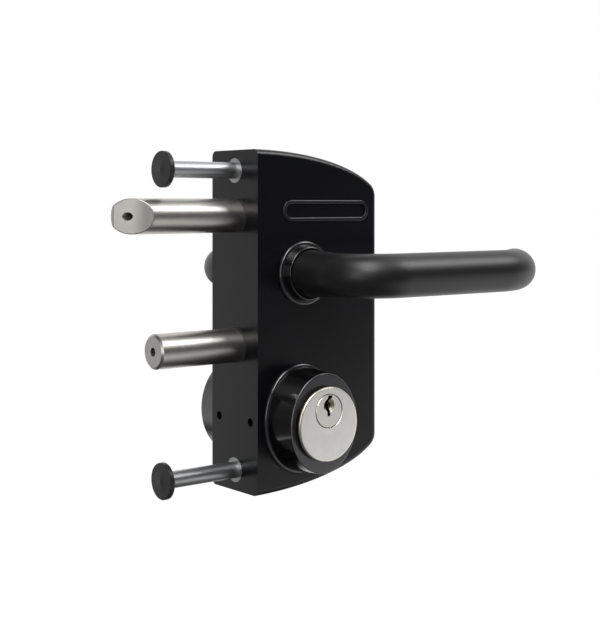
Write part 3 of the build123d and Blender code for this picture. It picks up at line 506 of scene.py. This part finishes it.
def turned_steel(name, colour, roughness):
    """Rings on what faces along X, grooves round what doesn't, and a ground slant with painted shade at
    its root.
    """
    metal = Finish(name, Metallic=1.0)
    along, across, up = metal.axes(metal.place)
    axis_z = (up > bolt_parting_z) * (latch_z - dead_z) + dead_z
    radius = hypotenuse(across, up - axis_z)
    spot = metal.node("CombineXYZ", X=along * grooves, Y=radius * grooves)
    rings = metal.node("TexNoise", Vector=spot, Scale=1.0, Detail=3.0)
    grain = rings * 0.6 + metal.noise(stains, detail=3.0) * 0.4
    turned = mottled(metal, grain, colour, darkest=0.86)

    run = (slant_tip - slant_root).normalized()
    off_slant = (along - slant_root.x) * run.y - (across - slant_root.y) * run.x
    # Painted shade on the slant, growing towards its root.
    slant_shade = (abs(off_slant) < slant_skin) * metal.rise(along, shade_start, shade_end)
    slant_shade_grey = (0.1, 0.095, 0.08, 1)
    metal.set(
        Base_Color=metal.node("MixRGB", Fac=slant_shade * 0.6, Color1=turned, Color2=slant_shade_grey),
        Roughness=rings.around(roughness, swing=0.08),
    )
    metal.relief(rings, depth=0.00002, strength=0.6)
    return metal


# %% [markdown]
# ## Brushed nickel
#
# The cylinders are brass under satin nickel, and their faces are brushed upright. Scratches could be
# drawn one by one, but a noise that is stretched about eighty times along Z gives them all. The
# plating wears through to brass where the face turns over its edge, and the side behind it is painted
# dark as the shade of its recess, so the colour also follows the depth behind the face. The face is a
# little short of full metal, because a mirror of the dark studio would be darker than the photograph
# shows it.

# %% Brushed nickel
brush_lines, clouds = 9000, 160  # to a metre
stretched = (1, 1, 0.012)  # along Z, the way the face is brushed
face_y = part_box("rear_cylinder")[1][1]
wear_depth = 0.002  # metres behind the face, the depth ramp's whole length
print(f"the cylinder's face lies {(face_y - collar_y) * 1000:.1f} mm past the collar")


def brushed_nickel(name, colour, roughness):
    """Brushed upright on the face; the plating wears to brass on the edge, and painted shade darkens the
    side behind it.
    """
    metal = Finish(name)
    lines = metal.noise(brush_lines, stretched, detail=3.0, roughness=0.65)
    grain = lines * 0.7 + metal.noise(clouds) * 0.3
    brushed = mottled(metal, grain, colour, darkest=0.84)

    _, out, _ = metal.axes(metal.place)
    depth = (face_y - abs(out)) * (1 / wear_depth)
    # The last stop is painted shade for the side in the recess behind the face; the others are plating
    # and brass wear.
    thin_plating, brass, recess_shade = (0.92, 0.86, 0.7), (0.8, 0.7, 0.5), (0.1, 0.085, 0.06)
    wear_and_recess_shade = metal.ramp(depth, (0.0, colour), (0.1, thin_plating), (0.5, brass), (0.62, recess_shade))
    behind = metal.node("MapRange", Value=depth, From_Min=0.02, From_Max=0.06)
    face_metallic = 0.74
    metal.set(
        Base_Color=metal.node("MixRGB", Fac=behind, Color1=brushed, Color2=wear_and_recess_shade),
        Metallic=behind * (1 - face_metallic) + face_metallic,
        Roughness=lines.around(roughness, swing=0.1),
    )
    metal.relief(lines, depth=0.00001, strength=0.4)
    return metal


# %% [markdown]
# ## Plain metals
#
# The screws, bushes, pins and springs and the works in the case are plated or plain metal, and most
# of them are hidden. Patterns of their own wouldn't show, so each gets one even colour, and a fine
# noise in the roughness keeps a highlight from looking painted on.

# %% Plain metals
tarnish = 700  # blotches to a metre
print(f"plain metal is blotched every {1000 / tarnish:.1f} mm")


def plain_metal(name, colour, roughness):
    metal = Finish(name, Base_Color=(*colour, 1), Metallic=1.0)
    metal.set(Roughness=metal.noise(tarnish, detail=3.0).around(roughness, swing=0.06))
    return metal


# %% [markdown]
# ## Every node takes its slot's finish
#
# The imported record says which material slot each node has. One finish per slot, looked up by name,
# dresses all the nodes in one loop, so a piece that is added to the model later gets its finish too.

# %% Dressing the nodes
finishes = {
    "case_black": powder_coat("case_black"),
    "trim_black": gloss_coat("trim_black"),
    "lever_black": matte_coat("lever_black"),
    "cap_black": black_plastic("cap_black"),
    "bolt_steel": turned_steel("bolt_steel", (0.6, 0.58, 0.545), 0.36),
    "cylinder_nickel": brushed_nickel("cylinder_nickel", (0.96, 0.94, 0.9), 0.32),
    "plug_nickel": brushed_nickel("plug_nickel", (0.9, 0.87, 0.82), 0.3),
    "pin_brass": plain_metal("pin_brass", (0.72, 0.52, 0.24), 0.3),
    "bush_brass": plain_metal("bush_brass", (0.16, 0.11, 0.07), 0.5),
    "zinc_steel": plain_metal("zinc_steel", (0.5, 0.51, 0.52), 0.4),
    "spring_steel": plain_metal("spring_steel", (0.45, 0.45, 0.46), 0.3),
}
for subpart in frame["record"]["subparts"]:
    node = nodes[subpart["node"]]
    node.data.materials.clear()
    node.data.materials.append(finishes[subpart["material_slot"]].material)
print(len(finishes), "finishes on", len(nodes), "nodes")

# %% [markdown]
# ## Size of the dressed lock
#
# A finish must not change what the model measures. The bare model's box is taken at the start, as
# cad_box, and the lamps are placed round its middle.

# %% Size of the dressed lock
import json
